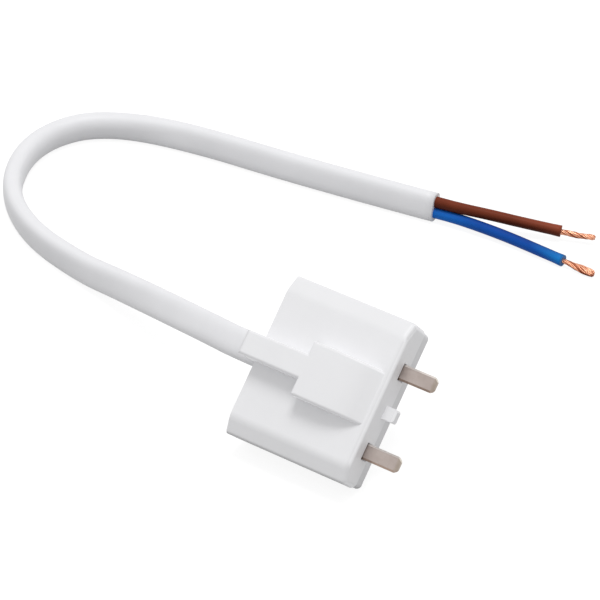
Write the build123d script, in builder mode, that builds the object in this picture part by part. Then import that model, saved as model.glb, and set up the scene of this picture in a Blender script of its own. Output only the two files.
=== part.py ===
from build123d import *
import os
from math import atan2, cos, degrees, hypot, radians, sin, tan

os.makedirs("parts", exist_ok=True)

# Flat two-pole plug with a short flat lead. The plug lies on the long lower edge of its housing and leans
# on its stiff lead, which bends round in a U on the table. All sizes are in millimetres.

# Housing
body_depth = 30.05       # front wall to back wall
body_width = 36.6        # at the widest line, under the side bevels
body_height = 11.0       # underside to the flat top
top_width = 29.2         # flat top between the side bevels
bevel_drop = 1.8         # how far the side bevels fall
seam_height = 3.8        # line between base and cover
seam_step = 0.25         # the base stands back from the cover by this
wall = 1.6
cover_draft = 1.5        # degrees, side walls of the cover
base_draft = 3.0         # degrees, all four walls of the base
front_round = 1.3        # front edges
bevel_share = 0.225      # part of each bevel that its soft upper line takes
side_round = 1.1         # line between bevel and side wall, and front corners of the base
edge_round = 0.5         # all other outer edges

# Raised cable block and snout, on top of the cover
block_width = 12.2
block_back = 17.35       # from the front wall
block_front = 1.25       # from the front wall
block_flat = 5.6         # level part of the block's top
block_rise = 4.0
block_offset = 0.3       # towards the far side
snout_width = 5.4
snout_offset = 0.6       # towards the far side
tongue_reach = 2.6       # past the back wall
block_round = 0.6

# Key between the blades
key_width = 2.9
key_reach = 2.7
key_height = 2.4
key_lift = 0.1           # above the seam
key_chamfer = 0.4

# Contact blades
blade_width = 3.5
blade_thick = 1.4
blade_reach = 8.45
blade_spacing = 18.1
blade_offset = -1.0      # middle of the pair, towards the far side
blade_chamfer = 0.9
blade_round = 0.4        # end of the tip
blade_bevel = 0.4        # long edges
shoulder_width = 5.4
shoulder_length = 4.4
neck_width = 2.2
neck_length = 2.1
barrel_diameter = 3.4
barrel_length = 4.0

# Flat lead
lead_width = 6.8
lead_thick = 4.2
lead_offset = 0.3        # towards the far side
wire_level = 6.2         # middle of lead and blades above the underside
sheath_inset = 7.5       # sheath inside the back wall
core_diameter = 2.4
core_pitch = 2.5
strand_diameter = 1.2
tail_bend = 2.6          # bend radius of the cores inside the plug
stripped_gap = 0.5       # bare strands between insulation and crimp barrel
free_strand = 8.3        # bare strands at the far end

# Seats and clearances
gap = 0.1
slot_gap = 0.15
lip_height = 1.0
lip_thick = 0.8
rib_thick = 1.2
seat_border = 0.9
peg_diameter = 3.0
peg_depth = 21.0         # from the front wall
peg_spacing = 24.8
boss_wall = 1.1

# Way the plug lies
lean = 43.0              # degrees between the underside and the table

half_width = body_width / 2
half_top = top_width / 2
bevel_height = body_height - bevel_drop
bevel_angle = degrees(atan2(bevel_drop, half_width - half_top))
bevel_length = hypot(bevel_drop, half_width - half_top)
bevel_round = bevel_share * bevel_length / tan(radians(bevel_angle) / 2)
half_seam = half_width - (bevel_height - seam_height) * tan(radians(cover_draft))
half_base = half_seam - seam_step
half_floor = half_base - seam_height * tan(radians(base_draft))
block_top = body_height + block_rise
ceiling = body_height - wall
blade_top = wire_level + blade_thick / 2
blade_bottom = wire_level - blade_thick / 2
shoulder_front = wall + slot_gap
shoulder_back = shoulder_front + shoulder_length
crimp_front = shoulder_back + neck_length
crimp_back = crimp_front + barrel_length
tail_end = crimp_back + stripped_gap
sheath_end = body_depth - sheath_inset
tongue_end = body_depth + tongue_reach

# The plug's own plane: x towards the blade tips, y across, z out of the top; its near lower edge is down
lean_sin = sin(radians(lean))
lean_cos = cos(radians(lean))
corner_in = edge_round / tan(radians(90 + base_draft) / 2)
front_x = (tongue_end - blade_reach) / 2
middle_y = (half_width * lean_cos + bevel_height * lean_sin - half_floor * lean_cos) / 2
floor_z = (half_floor - corner_in) * lean_sin - edge_round * lean_cos + edge_round
plug = Plane(origin=(front_x, middle_y, floor_z), x_dir=(1, 0, 0), z_dir=(0, -lean_sin, lean_cos))
plug_up = Axis(plug.origin, plug.z_dir)


def level(height):
    """Plan of the plug at a height above its underside."""
    return plug.offset(height)


def across(x):
    """Section across the plug, with y and z of the plug, at a distance from the front wall."""
    return Plane(origin=plug.from_local_coords((x, 0, 0)), x_dir=plug.y_dir, z_dir=plug.x_dir)


def along(y):
    """Side view of the plug, with x and z of the plug, at a distance from its middle."""
    return Plane(origin=plug.from_local_coords((0, y, 0)), x_dir=plug.x_dir, z_dir=-plug.y_dir)


def blade_plane(y):
    """Plan of the plug at the underside of a blade, about the blade's own middle line."""
    return Plane(origin=plug.from_local_coords((0, y, blade_bottom)), x_dir=plug.x_dir, z_dir=plug.z_dir)


def on_front(edge):
    """Edges in the plane of the front wall, apart from the seam."""
    centre = plug.to_local_coords(edge.center())
    return abs(centre.X) < edge_round / 2 and centre.Z > seam_height + edge_round


def between_faces(edge):
    """Edges that run up the walls of the base, between underside and seam."""
    height = plug.to_local_coords(edge.center()).Z
    return edge_round < height < seam_height - edge_round


def outside(edge):
    """Edges in front of the front wall."""
    return plug.to_local_coords(edge.center()).X > 0


def blade_outline(clear):
    """Plan of one blade about its own middle line, grown by a clearance."""
    half = blade_width / 2 + clear
    half_shoulder = shoulder_width / 2 + clear
    half_neck = neck_width / 2 + clear
    side = [
        (blade_reach + clear, half - blade_chamfer),
        (blade_reach + clear - blade_chamfer, half),
        (-shoulder_front + clear, half),
        (-shoulder_front + clear, half_shoulder),
        (-shoulder_back - clear, half_shoulder),
        (-shoulder_back - clear, half_neck),
        (-crimp_front - clear, half_neck),
    ]
    Polygon(*side, *[(x, -y) for x, y in reversed(side)], align=None)


def lead_section(clear):
    """Flat section of the lead, grown by a clearance."""
    SlotOverall(lead_width + 2 * clear, lead_thick + 2 * clear)


blade_sides = {
    "live": blade_offset + blade_spacing / 2,
    "neutral": blade_offset - blade_spacing / 2,
}
core_sides = {"live": core_pitch / 2, "neutral": -core_pitch / 2}
lead_top = wire_level + lead_thick / 2
rib_places = [-sheath_end - rib_thick * (2 * k + 1) for k in range(2)]
peg_places = [(-peg_depth, -peg_spacing / 2), (-peg_depth, peg_spacing / 2)]

# Cover: bevelled upper shell with the cable block, the snout and the key
inner_side = wall * tan(radians(90 - bevel_angle) / 2)
inner_top = wall * tan(radians(bevel_angle) / 2)
with BuildPart() as cover:
    with BuildSketch(across(0)):
        with BuildLine():
            Polyline(
                (0, seam_height),
                (half_seam, seam_height),
                (half_width, bevel_height),
                (half_top, body_height),
                (0, body_height),
                close=True,
            )
        make_face()
        mirror(about=Plane.YZ)
    extrude(amount=-body_depth)
    fillet(cover.edges().filter_by(Axis.X).group_by(plug_up)[-1], radius=bevel_round)
    fillet(cover.edges().filter_by(Axis.X).group_by(plug_up)[1], radius=side_round)
    fillet(cover.edges().filter_by(on_front), radius=front_round)
    # Block, level at the back and rounded down to the front edge
    with BuildSketch(along(block_offset)):
        with BuildLine():
            back = Line((-block_back, ceiling), (-block_back, block_top))
            top = Line(back @ 1, (-block_back + block_flat, block_top))
            slope = TangentArc(top @ 1, (-block_front, body_height), tangent=(1, 0))
            Polyline(slope @ 1, (-block_front, ceiling), back @ 0)
        make_face()
    extrude(amount=block_width / 2, both=True)
    # Snout from the block to the tongue over the lead
    with BuildSketch(along(snout_offset)):
        with BuildLine():
            Polyline(
                (-block_back + wall, ceiling),
                (-block_back + wall, block_top),
                (-tongue_end, block_top),
                (-tongue_end, wire_level),
                (-body_depth + wall, wire_level),
                (-body_depth + wall, ceiling),
                close=True,
            )
        make_face()
    extrude(amount=snout_width / 2, both=True)
    crown = cover.faces().filter_by(plug_up).sort_by(plug_up)[-1]
    fillet(crown.edges(), radius=block_round)
    # Room inside
    with BuildSketch(across(-wall)):
        with BuildLine():
            Polyline(
                (0, seam_height),
                (half_seam - wall, seam_height),
                (half_width - wall, bevel_height - inner_side),
                (half_top - inner_top, ceiling),
                (0, ceiling),
                close=True,
            )
        make_face()
        mirror(about=Plane.YZ)
    extrude(amount=-(body_depth - 2 * wall), mode=Mode.SUBTRACT)
    # Hollow under the level part of the block
    with BuildSketch(along(block_offset)):
        with Locations((-block_back + wall, ceiling)):
            Rectangle(block_flat, block_rise, align=(Align.MIN, Align.MIN))
    extrude(amount=block_width / 2 - wall, both=True, mode=Mode.SUBTRACT)
    # Ribs that press on the sheath
    for x in rib_places:
        with BuildSketch(across(x + rib_thick / 2)):
            with Locations((lead_offset, lead_top)):
                Rectangle(lead_width, body_height - wall / 2 - lead_top, align=(Align.CENTER, Align.MIN))
        extrude(amount=-rib_thick)
    # Ribs that hold the blades down
    for y in blade_sides.values():
        with BuildSketch(across(-shoulder_front - shoulder_length / 2 + rib_thick / 2)):
            with Locations((y, blade_top)):
                Rectangle(shoulder_width, body_height - wall / 2 - blade_top, align=(Align.CENTER, Align.MIN))
        extrude(amount=-rib_thick)
    # Bosses for the pegs of the base
    with BuildSketch(level(seam_height + gap)):
        with Locations(*peg_places):
            Circle(peg_diameter / 2 + gap + boss_wall)
            Circle(peg_diameter / 2 + gap, mode=Mode.SUBTRACT)
    extrude(amount=body_height - wall / 2 - seam_height - gap)
    # Way out for the lead, open to the seam
    with BuildSketch(across(-body_depth + wall + gap)):
        with Locations((lead_offset, wire_level)):
            lead_section(slot_gap)
            Rectangle(lead_width + 2 * slot_gap, wire_level - seam_height, align=(Align.CENTER, Align.MAX))
    extrude(amount=-(wall + tongue_reach + 2 * gap), mode=Mode.SUBTRACT)
    # Blade slots, open to the seam
    with BuildSketch(across(gap)):
        for y in blade_sides.values():
            with Locations((y, seam_height)):
                Rectangle(
                    blade_width + 2 * slot_gap, blade_top + gap - seam_height, align=(Align.CENTER, Align.MIN)
                )
    extrude(amount=-(wall + 2 * gap), mode=Mode.SUBTRACT)
    # Key
    with BuildSketch(level(seam_height + key_lift)):
        with Locations((-wall, blade_offset)):
            Rectangle(wall + key_reach, key_width, align=(Align.MIN, Align.CENTER))
    extrude(amount=key_height)
    chamfer(cover.faces().sort_by(Axis.X)[-1].edges(), length=key_chamfer)
cover.part.label = "cover"
export_step(cover.part, "parts/cover.step")

# Base: drafted lower shell with a lip, the lead's cradle, blade seats and pegs
base_depth = body_depth - 2 * seam_step
lip_out = wall + gap
lip_depth = body_depth - 2 * lip_out
lip_width = 2 * (half_seam - lip_out)
seat_length = shoulder_length + seat_border
seat_width = shoulder_width + 2 * seat_border
with BuildPart() as base:
    with BuildSketch(level(seam_height)):
        with Locations((-seam_step, 0)):
            Rectangle(base_depth, 2 * half_base, align=(Align.MAX, Align.CENTER))
    extrude(amount=-seam_height)
    draft(base.faces().filter_by(plug_up, reverse=True), level(seam_height), -base_draft)
    corners = base.edges().filter_by(between_faces).sort_by(Axis.X)
    fillet(corners[-2:], radius=side_round)
    fillet(corners[:2], radius=edge_round)
    fillet(base.faces().sort_by(plug_up)[0].edges(), radius=edge_round)
    # Lip that stands inside the cover's walls
    with BuildSketch(level(wall)):
        with Locations((-lip_out, 0)):
            Rectangle(lip_depth, lip_width, align=(Align.MAX, Align.CENTER))
    extrude(amount=seam_height + lip_height - wall)
    with BuildSketch(level(wall)):
        with Locations((-lip_out - lip_thick, 0)):
            Rectangle(lip_depth - 2 * lip_thick, lip_width - 2 * lip_thick, align=(Align.MAX, Align.CENTER))
    extrude(amount=seam_height + lip_height - wall, mode=Mode.SUBTRACT)
    # Cradle ribs under the sheath
    for x in rib_places:
        with BuildSketch(across(x + rib_thick / 2)):
            with Locations((lead_offset, wall)):
                Rectangle(lead_width + 2 * rib_thick, wire_level - wall, align=(Align.CENTER, Align.MIN))
        extrude(amount=-rib_thick)
    with BuildSketch(across(-sheath_end)):
        with Locations((lead_offset, wire_level + gap)):
            lead_section(gap)
            Rectangle(lead_width + 2 * gap, wire_level, align=(Align.CENTER, Align.MIN))
    extrude(amount=-body_depth, mode=Mode.SUBTRACT)
    # Blade seats, with a tab that closes the slot under each blade
    for y in blade_sides.values():
        with BuildSketch(level(wall)):
            with Locations((-shoulder_front, y)):
                Rectangle(seat_length, seat_width, align=(Align.MAX, Align.CENTER))
        extrude(amount=wire_level - wall)
        with BuildSketch(level(seam_height - wall)):
            with Locations((-2 * seam_step, y)):
                Rectangle(shoulder_front, blade_width, align=(Align.MAX, Align.CENTER))
        extrude(amount=blade_bottom - seam_height + wall)
        with BuildSketch(blade_plane(y)):
            blade_outline(gap)
        extrude(amount=blade_thick, mode=Mode.SUBTRACT)
    # Pegs
    with BuildSketch(level(wall)):
        with Locations(*peg_places):
            Circle(peg_diameter / 2)
    extrude(amount=ceiling - gap - wall)
base.part.label = "base"
export_step(base.part, "parts/base.step")

# Blades: stamped strip with a shoulder and a rolled crimp barrel
for side, y in blade_sides.items():
    with BuildPart() as blade:
        with BuildSketch(blade_plane(y)):
            blade_outline(0)
        extrude(amount=blade_thick)
        chamfer(blade.edges().filter_by(Axis.X).filter_by(outside), length=blade_bevel)
        tip = blade.faces().sort_by(Axis.X)[-1]
        chamfer(tip.edges().filter_by(Axis(plug.origin, plug.y_dir)), length=blade_round)
        with BuildSketch(across(-crimp_front)):
            with Locations((y, wire_level)):
                Circle(barrel_diameter / 2)
        extrude(amount=-barrel_length)
        with BuildSketch(across(-crimp_back)):
            with Locations((y, wire_level)):
                Circle(strand_diameter / 2 + gap / 2)
        extrude(amount=barrel_length, mode=Mode.SUBTRACT)
    blade.part.label = side + "_blade"
    export_step(blade.part, "parts/" + side + "_blade.step")

# Cores inside the plug, from the sheath to the crimp barrels, and the bare strands in the barrels
for side, y in blade_sides.items():
    start = (-sheath_end, lead_offset + core_sides[side], wire_level)
    end = (-tail_end, y, wire_level)
    run_out = core_diameter
    turns = [start, (start[0] + run_out, start[1], wire_level), (end[0] - run_out, y, wire_level), end]
    with BuildPart() as tail:
        with BuildLine():
            tail_line = FilletPolyline(*[plug.from_local_coords(turn) for turn in turns], radius=tail_bend)
        with BuildSketch(across(start[0])):
            with Locations((start[1], wire_level)):
                Circle(core_diameter / 2)
        sweep(path=tail_line)
    tail.part.label = side + "_core_tail"
    export_step(tail.part, "parts/" + side + "_core_tail.step")
    with BuildPart() as bare:
        with BuildSketch(across(end[0])):
            with Locations((y, wire_level)):
                Circle(strand_diameter / 2)
        extrude(amount=stripped_gap + barrel_length - gap)
    bare.part.label = side + "_crimp_strands"
    export_step(bare.part, "parts/" + side + "_crimp_strands.step")


def bend_radii(points):
    """As large a radius at each corner as its two runs allow."""
    radii = []
    for before, corner, after in zip(points, points[1:], points[2:]):
        turn = (corner - before).get_angle(after - corner)
        shorter = min((corner - before).length, (after - corner).length)
        radii.append(run_share * shorter / tan(radians(turn) / 2))
    return radii


def carried(way, points):
    """A direction square to a line, carried along the line's corners without twist."""
    for before, corner, after in zip(points, points[1:], points[2:]):
        pivot = (corner - before).cross(after - corner)
        way = way.rotate(Axis((0, 0, 0), pivot), (corner - before).get_angle(after - corner))
    return way


def flat_plane(edge, place, way):
    """Plane square to a line at a place along it, with its x as near as can be to a direction."""
    run = edge.tangent_at(place)
    return Plane(origin=edge.position_at(place), x_dir=way - run * way.dot(run), z_dir=run)


# Sheath: flat in the plug, turned on its edge on the way down, then round in a U on the table
run_share = 0.45
twist_steps = 4
edge_level = lead_width / 2
lead_exit = 37.65
lead_starts = [Vector(-x, lead_offset, wire_level) for x in (sheath_end, lead_exit)]
lead_points = [plug.from_local_coords(start) for start in lead_starts]
lead_points += [Vector(-35.7, 3.1, 13.8), Vector(-68.6, 13.7, 5.4)]
lead_points += [
    Vector(x, y, edge_level)
    for x, y in [
        (-81.2, 15.9),
        (-99.4, 19.9),
        (-113.3, 29.3),
        (-120.5, 42.5),
        (-121.0, 54.6),
        (-114.6, 65.3),
        (-96.6, 72.4),
        (-59.2, 76.6),
        (-29.0, 81.7),
    ]
]
lead_radii = bend_radii(lead_points)
with BuildLine() as lead_line:
    FilletPolyline(*lead_points, radius=lead_radii)
lead_edges = lead_line.wires()[0].order_edges()
twist_edge = lead_edges.filter_by(GeomType.LINE)[2]
twist_at = lead_edges.index(twist_edge)
flat_way = carried(plug.y_dir, lead_points[:4])
edge_way = Vector(0, 0, 1)
with BuildPart() as sheath:
    with BuildSketch(flat_plane(lead_edges[0], 0, plug.y_dir)):
        lead_section(0)
    sweep(path=Wire(lead_edges[:twist_at]))
    for step in range(twist_steps + 1):
        share = step / twist_steps
        with BuildSketch(flat_plane(twist_edge, share, flat_way * (1 - share) + edge_way * share)):
            lead_section(0)
    loft(ruled=True)
    with BuildSketch(flat_plane(twist_edge, 1, edge_way)):
        lead_section(0)
    sweep(path=Wire(lead_edges[twist_at + 1:]))
sheath.part.label = "lead_sheath"
export_step(sheath.part, "parts/lead_sheath.step")
print("lead length", round(lead_line.wires()[0].length, 1))
print("lead radii", [round(radius, 1) for radius in lead_radii])

# Stripped cores: side by side at the cut of the sheath, then apart, with bare twisted strands
core_start = 6.0         # straight out of the cut
cut = lead_edges[-1]
core_points = {
    "live": [(-16.2, 85.7, 4.0), (-8.5, 88.4, 3.2), (-1.1, 91.3, 2.4)],
    "neutral": [(-13.7, 83.0, 1.8), (-5.1, 83.3, 1.4), (4.9, 82.9, 1.3)],
}
for side, points in core_points.items():
    root = cut.position_at(1) + edge_way * core_sides[side]
    turns = [root, root + cut.tangent_at(1) * core_start] + [Vector(*point) for point in points]
    core_radii = bend_radii(turns)
    with BuildPart() as core:
        with BuildLine() as core_line:
            FilletPolyline(*turns, radius=core_radii)
        core_edges = core_line.wires()[0].order_edges()
        with BuildSketch(flat_plane(core_edges[0], 0, edge_way)):
            Circle(core_diameter / 2)
        sweep(path=core_line.wires()[0])
    core.part.label = side + "_core_end"
    export_step(core.part, "parts/" + side + "_core_end.step")
    with BuildPart() as strands:
        with BuildSketch(flat_plane(core_edges[-1], 1, edge_way)):
            Circle(strand_diameter / 2)
        extrude(amount=free_strand)
        chamfer(strands.faces().sort_by(Axis.X)[-1].edges(), length=strand_diameter / 6)
    strands.part.label = side + "_strands"
    export_step(strands.part, "parts/" + side + "_strands.step")
    print(side, "core length", round(core_line.wires()[0].length, 1))
    print(side, "core radii", [round(radius, 1) for radius in core_radii])
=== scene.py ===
import math

import bpy
import bmesh
from mathutils import Matrix, Vector


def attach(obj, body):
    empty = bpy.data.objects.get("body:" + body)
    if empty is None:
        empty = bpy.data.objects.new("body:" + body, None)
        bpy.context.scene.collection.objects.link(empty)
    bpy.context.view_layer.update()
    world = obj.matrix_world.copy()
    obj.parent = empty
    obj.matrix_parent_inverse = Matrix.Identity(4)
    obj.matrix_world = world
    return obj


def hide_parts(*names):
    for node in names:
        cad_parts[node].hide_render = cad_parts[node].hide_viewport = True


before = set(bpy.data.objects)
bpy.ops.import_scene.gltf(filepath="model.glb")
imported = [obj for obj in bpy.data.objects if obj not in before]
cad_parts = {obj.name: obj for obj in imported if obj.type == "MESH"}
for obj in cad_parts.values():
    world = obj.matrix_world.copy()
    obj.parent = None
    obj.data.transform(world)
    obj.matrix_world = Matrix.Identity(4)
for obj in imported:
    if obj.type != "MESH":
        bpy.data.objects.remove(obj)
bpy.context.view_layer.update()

# Named sizes and places are in millimetres unless a heading says metres; MM turns them into Blender's metres
MM = 0.001
FULL_TURN = 2 * math.pi
UP = Vector((0, 0, 1))
FAR = Vector((0, 1, 0))
scene = bpy.context.scene

# The plug's own place, directions and sizes, as in the CAD model
LEAN = math.radians(43.0)
PLUG_O = Vector((12.10, 3.353, 11.889))
PLUG_X = Vector((1, 0, 0))
PLUG_Y = Vector((0, math.cos(LEAN), math.sin(LEAN)))
PLUG_Z = Vector((0, -math.sin(LEAN), math.cos(LEAN)))
BODY_DEPTH = 30.05
HALF_WIDTH = 18.3
TONGUE_REACH = 2.6
BLADE_REACH = 8.45
SHEATH_INSET = 7.5
LEAD_OFFSET = 0.3
WIRE_LEVEL = 6.2


def on_plug(x, y, z):
    """A point of the plug: from its front wall, its middle and its underside."""
    return PLUG_O + PLUG_X * x + PLUG_Y * y + PLUG_Z * z


def leaning(way, other, degrees):
    """A direction that leans from one way towards another, which is square to it."""
    angle = math.radians(degrees)
    return way * math.cos(angle) + other * math.sin(angle)


# Shader helpers
def shader(name):
    mat = bpy.data.materials.new(name)
    mat.use_nodes = True
    nodes, links = mat.node_tree.nodes, mat.node_tree.links
    return mat, nodes, links, nodes["Principled BSDF"]


def node(nodes, kind, **values):
    made = nodes.new(kind)
    for key, value in values.items():
        if key in made.inputs:
            made.inputs[key].default_value = value
        else:
            setattr(made, key, value)
    return made


def ramp(nodes, links, value, stops):
    """A colour ramp over a value. Each stop is a place and a colour, or a place and a number for a grey."""
    made = nodes.new("ShaderNodeValToRGB")
    elements = made.color_ramp.elements
    while len(elements) < len(stops):
        elements.new(0.5)
    for element, (place, tone) in zip(elements, stops):
        element.position = place
        element.color = (*tone, 1) if isinstance(tone, tuple) else (tone, tone, tone, 1)
    links.new(value, made.inputs["Fac"])
    return made.outputs["Color"]


def noise(nodes, links, place, scale, detail, rough):
    made = node(nodes, "ShaderNodeTexNoise", Scale=scale, Detail=detail, Roughness=rough)
    links.new(place, made.inputs["Vector"])
    return made.outputs["Fac"]


def relief(nodes, links, height, bump, depth):
    made = node(nodes, "ShaderNodeBump", Strength=bump, Distance=depth * MM)
    links.new(height, made.inputs["Height"])
    return made.outputs["Normal"]


def along_way(nodes, links, what, way, low, high):
    """How far a normal or a position reaches along a direction, from 0 at low to 1 at high."""
    source = node(nodes, "ShaderNodeNewGeometry")
    reach = node(nodes, "ShaderNodeVectorMath", operation="DOT_PRODUCT")
    links.new(source.outputs[what], reach.inputs[0])
    reach.inputs[1].default_value = way
    share = node(nodes, "ShaderNodeMapRange")
    share.inputs["From Min"].default_value = low
    share.inputs["From Max"].default_value = high
    links.new(reach.outputs["Value"], share.inputs["Value"])
    return share.outputs[0]


def toned(mat, what, way, low, high, stops):
    """Multiplies a material's colour by a ramp over its normals or its positions along a direction."""
    nodes, links = mat.node_tree.nodes, mat.node_tree.links
    colour = nodes["Principled BSDF"].inputs["Base Color"]
    tones = ramp(nodes, links, along_way(nodes, links, what, way, low, high), stops)
    product = node(nodes, "ShaderNodeVectorMath", operation="MULTIPLY")
    links.new(colour.links[0].from_socket, product.inputs[0])
    links.new(tones, product.inputs[1])
    links.new(product.outputs["Vector"], colour)


def by_normal(mat, way, stops, low=-1.0, high=1.0):
    toned(mat, "Normal", way, low, high, stops)


def by_place(mat, way, low, high, stops):
    toned(mat, "Position", way, low * MM, high * MM, stops)


def tinted(mat, end, way, low, high):
    """Turns a material's colour into another one along a direction, between two places."""
    nodes, links = mat.node_tree.nodes, mat.node_tree.links
    colour = nodes["Principled BSDF"].inputs["Base Color"]
    change = node(nodes, "ShaderNodeMix", data_type="RGBA")
    links.new(along_way(nodes, links, "Position", way, low * MM, high * MM), change.inputs["Factor"])
    links.new(colour.links[0].from_socket, change.inputs[6])
    change.inputs[7].default_value = (*end, 1)
    links.new(change.outputs[2], colour)


# Materials
PLASTIC_IOR = 1.47
GRAIN_DEPTH, LINE_DEPTH = 0.05, 0.04
# Places in the noise, and how the roughness changes there
PLASTIC_GLOSS = [(0.25, -0.06), (0.75, 0.08)]
METAL_GLOSS = [(0.3, -0.08), (0.7, 0.1)]


def uneven(rough, gloss):
    return [(place, rough + change) for place, change in gloss]


def plastic(name, colour, dark, rough, grain, bump, shine=0.5):
    """Moulded plastic: a fine satin grain, faint cloudy tone and a slightly uneven gloss."""
    mat, nodes, links, bsdf = shader(name)
    place = node(nodes, "ShaderNodeTexCoord").outputs["Object"]
    cloud = noise(nodes, links, place, scale=90.0, detail=3.0, rough=0.6)
    links.new(ramp(nodes, links, cloud, [(0.3, dark), (0.7, colour)]), bsdf.inputs["Base Color"])
    fine = noise(nodes, links, place, scale=grain, detail=4.0, rough=0.55)
    links.new(ramp(nodes, links, fine, uneven(rough, PLASTIC_GLOSS)), bsdf.inputs["Roughness"])
    links.new(relief(nodes, links, fine, bump, GRAIN_DEPTH), bsdf.inputs["Normal"])
    bsdf.inputs["IOR"].default_value = PLASTIC_IOR
    bsdf.inputs["Specular IOR Level"].default_value = shine
    return mat


def metal(name, colour, dark, rough, along, fineness, bump):
    """Drawn or stamped metal: fine lines along one direction, with darker tarnish in patches."""
    mat, nodes, links, bsdf = shader(name)
    place = node(nodes, "ShaderNodeTexCoord").outputs["Object"]
    stretch = node(nodes, "ShaderNodeMapping")
    stretch.inputs["Scale"].default_value = along
    links.new(place, stretch.inputs["Vector"])
    lines = noise(nodes, links, stretch.outputs["Vector"], scale=fineness, detail=3.0, rough=0.6)
    patches = noise(nodes, links, place, scale=420.0, detail=3.0, rough=0.6)
    links.new(ramp(nodes, links, patches, [(0.35, dark), (0.65, colour)]), bsdf.inputs["Base Color"])
    links.new(ramp(nodes, links, lines, uneven(rough, METAL_GLOSS)), bsdf.inputs["Roughness"])
    links.new(relief(nodes, links, lines, bump, LINE_DEPTH), bsdf.inputs["Normal"])
    bsdf.inputs["Metallic"].default_value = 1.0
    return mat


# The photograph's soft shading that the studio light leaves out, as factors of the plastic's colour.
# Ramps over sides go from those that face straight down (0) to those that face straight up (1), and ramps
# with a depth go inwards from an edge.
COVER_SIDE_SHADING = [(0.15, 1.16), (0.42, 1.0), (0.5, 1.0), (0.68, 0.96), (0.86, 1.01), (0.98, 0.93)]
BASE_SIDE_SHADE = [(0.15, 0.56), (0.42, 0.96), (0.5, 1.0)]
SHEATH_SIDE_SHADING = [(0.2, 0.84), (0.45, 0.95), (0.6, 1.0), (0.85, 1.0), (0.97, 0.965)]
NEAR_EDGE_SHADE, NEAR_EDGE_DEPTH = [(0.0, 0.39), (0.35, 0.68), (1.0, 1.0)], 0.5
TONGUE_END_SHADE, TONGUE_END_DEPTH = [(0.0, 0.88), (0.5, 0.90), (1.0, 1.0)], 0.8
# Painted highlight on the rounded front edge: light rings round two of its directions, each a little darker
# in its middle
FAR_RISE = leaning(PLUG_Z, PLUG_Y, 40)
EDGE_START_WAY = leaning(FAR_RISE, PLUG_X, 45)
EDGE_START_HIGHLIGHT = [(0.45, 1.0), (0.56, 1.04), (0.65, 1.04), (0.83, 0.95)]
EDGE_END_WAY = leaning(FAR_RISE, PLUG_X, 55)
EDGE_END_HIGHLIGHT = [(0.29, 1.0), (0.46, 1.10), (0.66, 1.14), (0.82, 0.97)]


def cover_plastic():
    """White plastic with painted shade at the near edge and at the tongue's end, and a painted highlight on
    the front edge.
    """
    mat = plastic("housing_white", (0.85, 0.85, 0.865), (0.83, 0.83, 0.845),
                  rough=0.42, grain=3800.0, bump=0.25)
    # Painted shading: the cover's sides are lighter or darker by the way they face
    by_normal(mat, UP, COVER_SIDE_SHADING)
    # Painted shade along the cover's near lower edge
    near = PLUG_O.dot(PLUG_Y) - HALF_WIDTH
    by_place(mat, PLUG_Y, near, near + NEAR_EDGE_DEPTH, NEAR_EDGE_SHADE)
    # Painted shade line at the tongue's end
    back = PLUG_O.x - BODY_DEPTH - TONGUE_REACH
    by_place(mat, PLUG_X, back, back + TONGUE_END_DEPTH, TONGUE_END_SHADE)
    # Painted highlight on the rounded front edge
    by_normal(mat, EDGE_START_WAY, EDGE_START_HIGHLIGHT, low=0.7)
    by_normal(mat, EDGE_END_WAY, EDGE_END_HIGHLIGHT, low=0.8)
    return mat


def base_plastic():
    """Plastic of the lower shell, painted darker than the cover for the shade along the plug's bottom, and
    with painted shade on its sides that face down.
    """
    mat = plastic("housing_lower", (0.735, 0.735, 0.75), (0.715, 0.715, 0.73),
                  rough=0.42, grain=3800.0, bump=0.25)
    # Painted shade on the sides that face down
    by_normal(mat, UP, BASE_SIDE_SHADE)
    return mat


def sheath_plastic():
    """White plastic of the lead, a little rougher than the cover, with painted shading by the way its sides
    face, darkest on those that face down.
    """
    mat = plastic("sheath_white", (0.825, 0.825, 0.845), (0.795, 0.795, 0.815),
                  rough=0.46, grain=2600.0, bump=0.3)
    # Painted shading by the way the sheath's sides face
    by_normal(mat, UP, SHEATH_SIDE_SHADING)
    return mat


# The cores have a painted highlight on top at their free ends, the blue one is also lighter at the sheath,
# and both have painted shading round their sides
TOWARDS_TIP = Vector((1, 0, 3))
TOWARDS_SHEATH = Vector((-1, 0, 0))
FAR_TOP = leaning(UP, FAR, 20)
NEAR_SIDE = leaning(-FAR, UP, 15)
BROWN_TIP_HIGHLIGHT = (0.21, 0.048, 0.024)
BROWN_ROUND_SHADING = [(0.05, 0.62), (0.43, 0.77), (0.69, 1.13), (0.90, 1.30)]
BLUE_TIP_HIGHLIGHT, BLUE_ROOT = (0.012, 0.195, 0.58), (0.008, 0.108, 0.47)
BLUE_ROUND_SHADING = [(0.35, (0.7, 0.42, 0.45)), (0.62, (0.9, 0.74, 0.76)), (0.80, (1.0, 0.95, 0.95)),
              (0.96, (1.1, 1.22, 1.12))]


def brown_plastic():
    mat = plastic("core_brown", (0.150, 0.031, 0.014), (0.115, 0.024, 0.011),
                  rough=0.4, grain=3000.0, bump=0.3, shine=0.06)
    # Painted highlight on top at the free end, and painted shading round the side
    tinted(mat, BROWN_TIP_HIGHLIGHT, TOWARDS_TIP, low=2.0, high=10.0)
    by_normal(mat, FAR_TOP, BROWN_ROUND_SHADING)
    return mat


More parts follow.
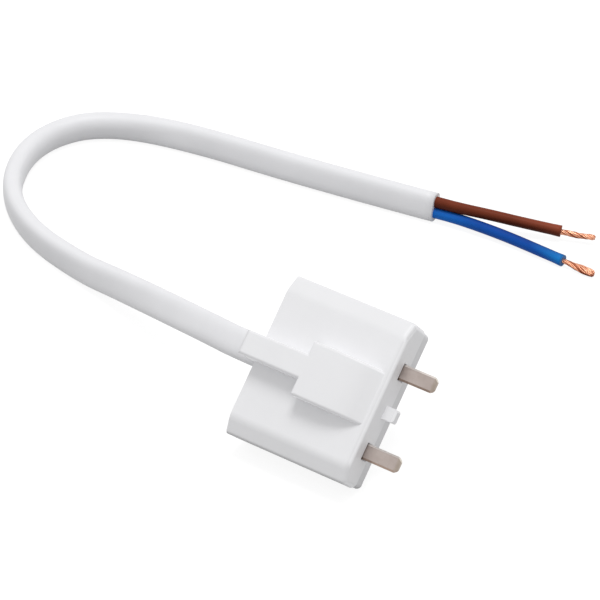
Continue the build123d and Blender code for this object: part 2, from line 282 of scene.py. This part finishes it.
def blue_plastic():
    mat = plastic("core_blue", (0.006, 0.070, 0.38), (0.005, 0.058, 0.32),
                  rough=0.4, grain=3000.0, bump=0.3, shine=0.1)
    # Painted highlight on top at the free end, lighter towards the sheath, and painted shading round the side
    tinted(mat, BLUE_TIP_HIGHLIGHT, TOWARDS_TIP, low=4.0, high=13.0)
    tinted(mat, BLUE_ROOT, TOWARDS_SHEATH, low=17.0, high=25.0)
    by_normal(mat, NEAR_SIDE, BLUE_ROUND_SHADING)
    return mat


def cut_plastic(name, colour, dark):
    """The paler, rougher face where a core's insulation is cut."""
    return plastic(name, colour, dark, rough=0.6, grain=3000.0, bump=0.4, shine=0.1)


# Painted shade and highlight on the blades: across them from the near edge to the far one, and along them at
# root and tip
BLADE_EDGE_SHADING = [(0.10, (0.72, 0.60, 0.51)), (0.36, 1.0), (0.64, 1.0), (0.88, (1.7, 1.85, 1.9))]
BLADE_ROOT_SHADE, BLADE_ROOT_LENGTH = [(0.0, 0.65), (1.0, 1.0)], 0.6
BLADE_TIP_SHADE, BLADE_TIP_FADE, BLADE_TIP_LENGTH = [(0.0, 1.0), (1.0, (0.85, 0.84, 0.78))], 0.5, 0.95


def blade_metal():
    """Plated blades with painted shade along the near edge, at root and tip, and a painted highlight along
    the far edge.
    """
    mat = metal("blade_plated", (0.48, 0.415, 0.385), (0.43, 0.365, 0.335),
                rough=0.36, along=(0.12, 1, 1), fineness=2400.0, bump=0.3)
    # Painted shade along the near edge and a painted highlight along the far edge
    by_normal(mat, PLUG_Y, BLADE_EDGE_SHADING)
    root = PLUG_O.x
    tip = root + BLADE_REACH - BLADE_TIP_LENGTH
    # Painted shade at the tip and at the root
    by_place(mat, PLUG_X, tip, tip + BLADE_TIP_FADE, BLADE_TIP_SHADE)
    by_place(mat, PLUG_X, root, root + BLADE_ROOT_LENGTH, BLADE_ROOT_SHADE)
    return mat


COPPER_TONES = ((0.93, 0.53, 0.36), (0.82, 0.41, 0.26))
DULL_TONES = ((0.46, 0.17, 0.09), (0.34, 0.11, 0.06))


def wire_metal(name, tones):
    return metal(name, *tones, rough=0.32, along=(1, 1, 1), fineness=3000.0, bump=0.2)


COVER, BASE, SHEATH = cover_plastic(), base_plastic(), sheath_plastic()
BROWN, BLUE = brown_plastic(), blue_plastic()
BROWN_CUT = cut_plastic("cut_brown", (0.30, 0.13, 0.095), (0.25, 0.10, 0.07))
BLUE_CUT = cut_plastic("cut_blue", (0.10, 0.22, 0.45), (0.07, 0.17, 0.40))
BLADE = blade_metal()
COPPER = wire_metal("copper_strand", COPPER_TONES)
CAD_MATERIALS = {
    "cover": COVER,
    "base": BASE,
    "live_blade": BLADE,
    "neutral_blade": BLADE,
    "live_core_tail": BROWN,
    "neutral_core_tail": BLUE,
    "live_crimp_strands": COPPER,
    "neutral_crimp_strands": COPPER,
}
for name, mat in CAD_MATERIALS.items():
    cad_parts[name].material_slots[0].material = mat


# Shape helpers
def spline_line(name, points, resolution):
    """Points along the smooth line that the route's points steer, in metres."""
    curve = bpy.data.curves.new(name, "CURVE")
    curve.dimensions = "3D"
    curve.resolution_u = resolution
    spline = curve.splines.new("NURBS")
    spline.points.add(len(points) - 1)
    for made, point in zip(spline.points, points):
        made.co = (*(Vector(point) * MM), 1)
    spline.order_u = 3
    spline.use_endpoint_u = True
    holder = bpy.data.objects.new(name, curve)
    mesh = bpy.data.meshes.new_from_object(holder)
    line = [v.co.copy() for v in mesh.vertices]
    bpy.data.objects.remove(holder)
    bpy.data.meshes.remove(mesh)
    return line


def tangents(line):
    made = []
    for k in range(len(line)):
        a, b = line[max(k - 1, 0)], line[min(k + 1, len(line) - 1)]
        made.append((b - a).normalized())
    return made


def distances(line):
    made = [0.0]
    for a, b in zip(line, line[1:]):
        made.append(made[-1] + (b - a).length)
    return made


def smooth(t):
    t = max(0.0, min(1.0, t))
    return t * t * (3 - 2 * t)


def squared(way, run):
    """The part of a direction that is square to a run."""
    return (way - run * way.dot(run)).normalized()


def new_object(name, bm, *mats):
    bmesh.ops.recalc_face_normals(bm, faces=bm.faces)
    mesh = bpy.data.meshes.new(name)
    bm.to_mesh(mesh)
    bm.free()
    for mat in mats:
        mesh.materials.append(mat)
    obj = bpy.data.objects.new(name, mesh)
    scene.collection.objects.link(obj)
    return obj


def tube(bm, line, ways, sections):
    """Joins sections along a line; ways are the directions of their first axis."""
    rings = []
    for point, run, way, section in zip(line, tangents(line), ways, sections):
        first = squared(way, run)
        second = run.cross(first)
        rings.append([bm.verts.new(point + first * a + second * b) for a, b in section])
    for low, high in zip(rings, rings[1:]):
        for k in range(len(low)):
            j = (k + 1) % len(low)
            bm.faces.new((low[k], low[j], high[j], high[k])).smooth = True
    bm.faces.new(rings[0])
    bm.faces.new(rings[-1])


def oval(width, thick, power, steps):
    """Flat section with bulging sides, fuller than an ellipse."""
    made = []
    for k in range(steps):
        angle = FULL_TURN * k / steps
        cosine, sine = math.cos(angle), math.sin(angle)
        made.append((
            width / 2 * MM * math.copysign(abs(cosine) ** (2 / power), cosine),
            thick / 2 * MM * math.copysign(abs(sine) ** (2 / power), sine),
        ))
    return made


def disc(radius, steps):
    angles = [FULL_TURN * k / steps for k in range(steps)]
    return [(radius * MM * math.cos(angle), radius * MM * math.sin(angle)) for angle in angles]


# Flat lead: it leaves the plug flat, turns on its edge on the way down and lies in a U on the floor
LEAD_WIDTH, LEAD_THICK = 6.8, 4.2
LEAD_SIDES = 44
LEAD_STEPS = 24
LEAD_EXIT = 37.65
LEAD_POINTS = [
    on_plug(-BODY_DEPTH + SHEATH_INSET, LEAD_OFFSET, WIRE_LEVEL),
    on_plug(-LEAD_EXIT, LEAD_OFFSET, WIRE_LEVEL),
    (-35.7, 3.1, 13.8),
    (-68.6, 13.7, 5.4),
    (-81.2, 15.9, 3.4),
    (-99.4, 19.9, 3.4),
    (-113.3, 29.3, 3.4),
    (-120.5, 42.5, 3.4),
    (-121.0, 54.6, 3.4),
    (-114.6, 65.3, 3.4),
    (-96.6, 72.4, 3.4),
    (-59.2, 76.6, 3.4),
    (-29.0, 81.7, 3.4),
]
TWIST_FROM, TWIST_TO = 10.0, 103.0
# Distances along the lead, and there the lean of its upper edge in degrees, its thickness and its fullness
LEAD_FORM = [
    (0, (0, LEAD_THICK, 2.6)),
    (25, (0, LEAD_THICK, 2.6)),
    (40, (0, LEAD_THICK, 3.0)),
    (100, (0, LEAD_THICK, 3.0)),
    (132, (-4, 5.2, 2.2)),
    (150, (-4, 5.2, 2.2)),
    (172, (15, 4.3, 2.8)),
    (195, (18, LEAD_THICK, 2.9)),
    (240, (18, LEAD_THICK, 2.9)),
]


def lead_form(distance):
    """Lean, thickness and fullness at a distance along the lead."""
    for (low, before), (high, after) in zip(LEAD_FORM, LEAD_FORM[1:]):
        if distance <= high:
            share = smooth((distance - low) / (high - low))
            return [a + (b - a) * share for a, b in zip(before, after)]


lead_line = spline_line("lead_route", LEAD_POINTS, LEAD_STEPS)
lead_distances = distances(lead_line)
lead_runs = tangents(lead_line)
lead_ways, lead_sections = [], []
for distance, run in zip(lead_distances, lead_runs):
    turned = smooth((distance / MM - TWIST_FROM) / (TWIST_TO - TWIST_FROM))
    lean, thick, full = lead_form(distance / MM)
    lead_ways.append(Matrix.Rotation(math.radians(-lean), 3, run) @ PLUG_Y.lerp(UP, turned))
    lead_sections.append(oval(LEAD_WIDTH, thick, full, LEAD_SIDES))

bm = bmesh.new()
tube(bm, lead_line, lead_ways, lead_sections)
lead = new_object("flat_lead", bm, SHEATH)
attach(lead, "root")
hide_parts("lead_sheath")

# Stripped cores: side by side at the cut of the sheath, then apart
CORE_RADIUS = 1.31
CORE_PITCH = 2.62
CORE_INSIDE = 5.0
CORE_STRAIGHT = 6.0
CORE_FLARE = 0.05
FLARE_LENGTH = 2.5
CORE_SIDES = 28
CORE_STEPS = 16
CORES = {
    "live": dict(sign=1, points=[(-16.2, 85.7, 4.0), (-8.5, 88.4, 3.2), (-0.82, 91.41, 2.37)],
                 mat=BROWN, cut_mat=BROWN_CUT, slot="brown_core"),
    "neutral": dict(sign=-1, points=[(-13.7, 83.0, 1.95), (-5.1, 83.3, 1.55), (4.9, 82.9, 1.4)],
                    mat=BLUE, cut_mat=BLUE_CUT, slot="blue_core"),
}
cut_point = lead_line[-1]
cut_run = lead_runs[-1]
cut_way = squared(lead_ways[-1], cut_run)


def core_line(side, sign, points):
    """Middle line of a core, from inside the sheath to its free end."""
    root = cut_point / MM + cut_way * sign * CORE_PITCH / 2
    route = [root - cut_run * CORE_INSIDE, root, root + cut_run * CORE_STRAIGHT]
    return spline_line(side + "_route", route + points, CORE_STEPS)


def insulation(side, line, mat, cut_mat):
    """A core's insulation, a little wider where it is cut."""
    along = distances(line)
    from_cut = [(distance - along[-1]) / MM for distance in along]
    flares = [1 + CORE_FLARE * smooth(distance / FLARE_LENGTH + 1) for distance in from_cut]
    bm = bmesh.new()
    tube(bm, line, [UP] * len(line), [disc(CORE_RADIUS * flare, CORE_SIDES) for flare in flares])
    bm.faces.ensure_lookup_table()
    bm.faces[-1].material_index = 1
    return new_object(side + "_insulation", bm, mat, cut_mat)


# Bare copper: rings of fine wires, each ring a share of the bundle's size and a number of wires
WIRE_RINGS = [(0.0, 1), (0.34, 6), (0.66, 12), (0.94, 18)]
OUTER_RING = len(WIRE_RINGS) - 1
WIRE_RADIUS = 0.125
WIRE_SIDES = 8
WIRE_STEPS = 36
STRAND_INSIDE = 0.6
# How unevenly the wires end, how far they stray round and in and out of the bundle, and how the bundle sways
END_SPREAD, END_CROWN = 0.04, 0.05
END_KINDS, END_STRIDE = 5, 3
STRAY, STRAY_WAVES, STRAY_SHIFT = 0.12, 1.4, 2.4
SWELL, SWELL_SPEED, SWELL_SHIFT = 0.06, 5.0, 1.7
SWAY_WAVES = 1.3
# Length of each bundle, its half width and half height along it and its rise at root and tip, then the turns
# of its flat section and of its wires, its sway and the outer wires that are dull
STRANDS = {
    "live": dict(length=8.65, wide=[0.60, 0.56, 0.60, 0.64, 0.60, 0.66, 0.62],
                 high=[0.56, 0.54, 0.54, 0.56, 0.54, 0.56, 0.50], rise=(-0.25, 0.22),
                 roll=(0.2, 0.6), lay=0.5, sway=0.10, dull=(4, 5, 10, 11, 15)),
    "neutral": dict(length=9.1, wide=[0.46, 0.46, 0.54, 0.74, 0.86, 0.88, 0.76],
                    high=[0.46, 0.44, 0.42, 0.42, 0.42, 0.42, 0.38], rise=(0.0, 0.0),
                    roll=(0.33, 0.08), lay=0.55, sway=0.05, dull=(8, 9, 14)),
}


def between(values, t):
    """Value at a share of the way along a row of values."""
    place = t * (len(values) - 1)
    k = min(int(place), len(values) - 2)
    return values[k] + (values[k + 1] - values[k]) * smooth(place - k)


def twisted_strands(bm, start, run, length, wide, high, roll, lay, sway, dull):
    """A bundle of fine wires laid round each other, in a flattened section that rolls along its length."""
    first = squared(UP, run)
    second = run.cross(first)
    for ring, (share, count) in enumerate(WIRE_RINGS):
        for k in range(count):
            wire = []
            short = (END_STRIDE * k + ring) % END_KINDS / (END_KINDS - 1)
            reach = length * (1 - END_SPREAD * short - END_CROWN * share ** 4)
            for step in range(WIRE_STEPS + 1):
                t = step / WIRE_STEPS
                stray = STRAY * math.sin(FULL_TURN * STRAY_WAVES * t + STRAY_SHIFT * k + ring)
                turn = FULL_TURN * (k / count + lay * t) + stray
                out = share * (1 + SWELL * math.sin(SWELL_SHIFT * k + SWELL_SPEED * t))
                u = out * between(wide, t) * math.cos(turn)
                v = out * between(high, t) * math.sin(turn)
                tilt = FULL_TURN * (roll[0] + roll[1] * t)
                lift = sway * math.sin(FULL_TURN * SWAY_WAVES * t)
                off = first * (u * math.cos(tilt) - v * math.sin(tilt) + lift)
                off += second * (u * math.sin(tilt) + v * math.cos(tilt))
                wire.append(start + (run * (reach * t - STRAND_INSIDE) + off) * MM)
            before = len(bm.faces)
            tube(bm, wire, [first] * len(wire), [disc(WIRE_RADIUS, WIRE_SIDES)] * len(wire))
            bm.faces.ensure_lookup_table()
            for face in bm.faces[before:]:
                face.material_index = 1 if ring == OUTER_RING and k in dull else 0


# Painted shade and highlight across a bundle, from its dark underside to its pale near upper side
BRIGHT_SIDE = Vector((0.29, -0.41, 0.866))
BUNDLE_UNDER, BUNDLE_OVER = 0.5, 0.7
BUNDLE_ROUND_SHADING = [(0.05, (0.12, 0.05, 0.04)), (0.36, (0.38, 0.22, 0.18)), (0.64, (0.80, 0.70, 0.65)),
                (1.0, 1.06)]


def bundle_copper(side, start, run):
    """Bright and dull copper of one bundle, with painted shade on its underside and a painted highlight on
    its near upper side.
    """
    way = squared(BRIGHT_SIDE, run)
    middle = start.dot(way) / MM
    made = []
    for name, tones in (("copper", COPPER_TONES), ("copper_dull", DULL_TONES)):
        mat = wire_metal(name + "_" + side, tones)
        # Painted shade on the underside and a painted highlight on the near upper side
        by_place(mat, way, middle - BUNDLE_UNDER, middle + BUNDLE_OVER, BUNDLE_ROUND_SHADING)
        made.append(mat)
    return made


def bare_copper(side, line, rise, length, **bundle):
    """The bundle at a core's free end, tilted by its rise."""
    root_rise, tip_rise = rise
    end_run = tangents(line)[-1]
    square = squared(UP, end_run)
    start = line[-1] + square * root_rise * MM
    run = (end_run * length + square * (tip_rise - root_rise)).normalized()
    bm = bmesh.new()
    twisted_strands(bm, start, run, length, **bundle)
    return new_object(side + "_copper", bm, *bundle_copper(side, start, run))


for side, values in CORES.items():
    line = core_line(side, values["sign"], values["points"])
    core = insulation(side, line, values["mat"], values["cut_mat"])
    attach(core, "root")
    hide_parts(side + "_core_end")
    strands = bare_copper(side, line, **STRANDS[side])
    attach(strands, "root")
    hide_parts(side + "_strands")

# Stage, in metres: a floor that looks white to the camera and throws light on the part like grey paper
FLOOR_SIZE = 3.0
FLOOR_BOUNCE = (0.55, 0.55, 0.55, 1)
FLOOR_SHADE = (0.21, 0.21, 0.21, 1)
FLOOR_GLOW = 0.88
WHITE = (1, 1, 1, 1)


def seen_ray(nodes, links):
    """1 for rays from the camera and mirrored rays, 0 for the rest."""
    path = node(nodes, "ShaderNodeLightPath")
    made = node(nodes, "ShaderNodeMath", operation="MAXIMUM")
    links.new(path.outputs["Is Camera Ray"], made.inputs[0])
    links.new(path.outputs["Is Glossy Ray"], made.inputs[1])
    return made.outputs[0]


def floor_paper():
    mat, nodes, links, bsdf = shader("floor_white")
    nodes.remove(bsdf)
    lit = node(nodes, "ShaderNodeBsdfDiffuse", Color=FLOOR_BOUNCE)
    shown = node(nodes, "ShaderNodeBsdfDiffuse", Color=FLOOR_SHADE)
    glow = node(nodes, "ShaderNodeEmission", Color=WHITE, Strength=FLOOR_GLOW)
    both = node(nodes, "ShaderNodeAddShader")
    links.new(shown.outputs[0], both.inputs[0])
    links.new(glow.outputs[0], both.inputs[1])
    mix = node(nodes, "ShaderNodeMixShader")
    links.new(seen_ray(nodes, links), mix.inputs[0])
    links.new(lit.outputs[0], mix.inputs[1])
    links.new(both.outputs[0], mix.inputs[2])
    links.new(mix.outputs[0], nodes["Material Output"].inputs["Surface"])
    return mat


bm = bmesh.new()
for x, y in ((-1, -1), (1, -1), (1, 1), (-1, 1)):
    bm.verts.new((x * FLOOR_SIZE, y * FLOOR_SIZE, 0.0))
bm.faces.new(bm.verts)
floor = new_object("floor", bm, floor_paper())

# Light, in metres: a pale sky that is brighter overhead, white to the camera, and one soft lamp above
SKY_LOW, SKY_HIGH, SKY_SEEN = 0.48, 0.81, 1.0
LAMP_PLACE, LAMP_AIM = Vector((0.05, 0.2, 2.3)), Vector((-0.03, 0.03, 0))
LAMP_SIZE, LAMP_POWER = 1.0, 22.0


def studio_world():
    world = bpy.data.worlds.new("studio")
    world.use_nodes = True
    nodes, links = world.node_tree.nodes, world.node_tree.links
    place = node(nodes, "ShaderNodeTexCoord")
    parts = node(nodes, "ShaderNodeSeparateXYZ")
    links.new(place.outputs["Generated"], parts.inputs[0])
    sky = node(nodes, "ShaderNodeMapRange")
    sky.inputs["To Min"].default_value = SKY_LOW
    sky.inputs["To Max"].default_value = SKY_HIGH
    links.new(parts.outputs["Z"], sky.inputs["Value"])
    level = node(nodes, "ShaderNodeMix")
    links.new(seen_ray(nodes, links), level.inputs["Factor"])
    links.new(sky.outputs[0], level.inputs["A"])
    level.inputs["B"].default_value = SKY_SEEN
    links.new(level.outputs["Result"], nodes["Background"].inputs["Strength"])
    nodes["Background"].inputs["Color"].default_value = WHITE
    return world


def placed(name, data, place, look):
    """An object that stands at a place and looks along a direction."""
    obj = bpy.data.objects.new(name, data)
    obj.location = place
    obj.rotation_mode = "QUATERNION"
    obj.rotation_quaternion = look.to_track_quat("-Z", "Y")
    scene.collection.objects.link(obj)
    return obj


scene.world = studio_world()
lamp = bpy.data.lights.new("key", "AREA")
lamp.shape = "DISK"
lamp.size = LAMP_SIZE
lamp.energy = LAMP_POWER
placed("key", lamp, LAMP_PLACE, LAMP_AIM - LAMP_PLACE)

# Camera at the photograph's angle: its place in metres, its lens and sensor in millimetres
AZIMUTH, ELEVATION = math.radians(34.85), math.radians(36.51)
CAMERA_AIM = Vector((-0.03055, 0.02907, 0.008))
CAMERA_DISTANCE = 0.74337
CLIP_START = 0.01
LENS, SENSOR_WIDTH = 202.09, 36.0
camera = bpy.data.cameras.new("camera")
camera.sensor_width = SENSOR_WIDTH
camera.lens = LENS
camera.clip_start = CLIP_START
flat_look = Vector((-math.sin(AZIMUTH), math.cos(AZIMUTH), 0))
look = flat_look * math.cos(ELEVATION) - UP * math.sin(ELEVATION)
scene.camera = placed("camera", camera, CAMERA_AIM - look * CAMERA_DISTANCE, look)
scene.view_settings.view_transform = "Standard"
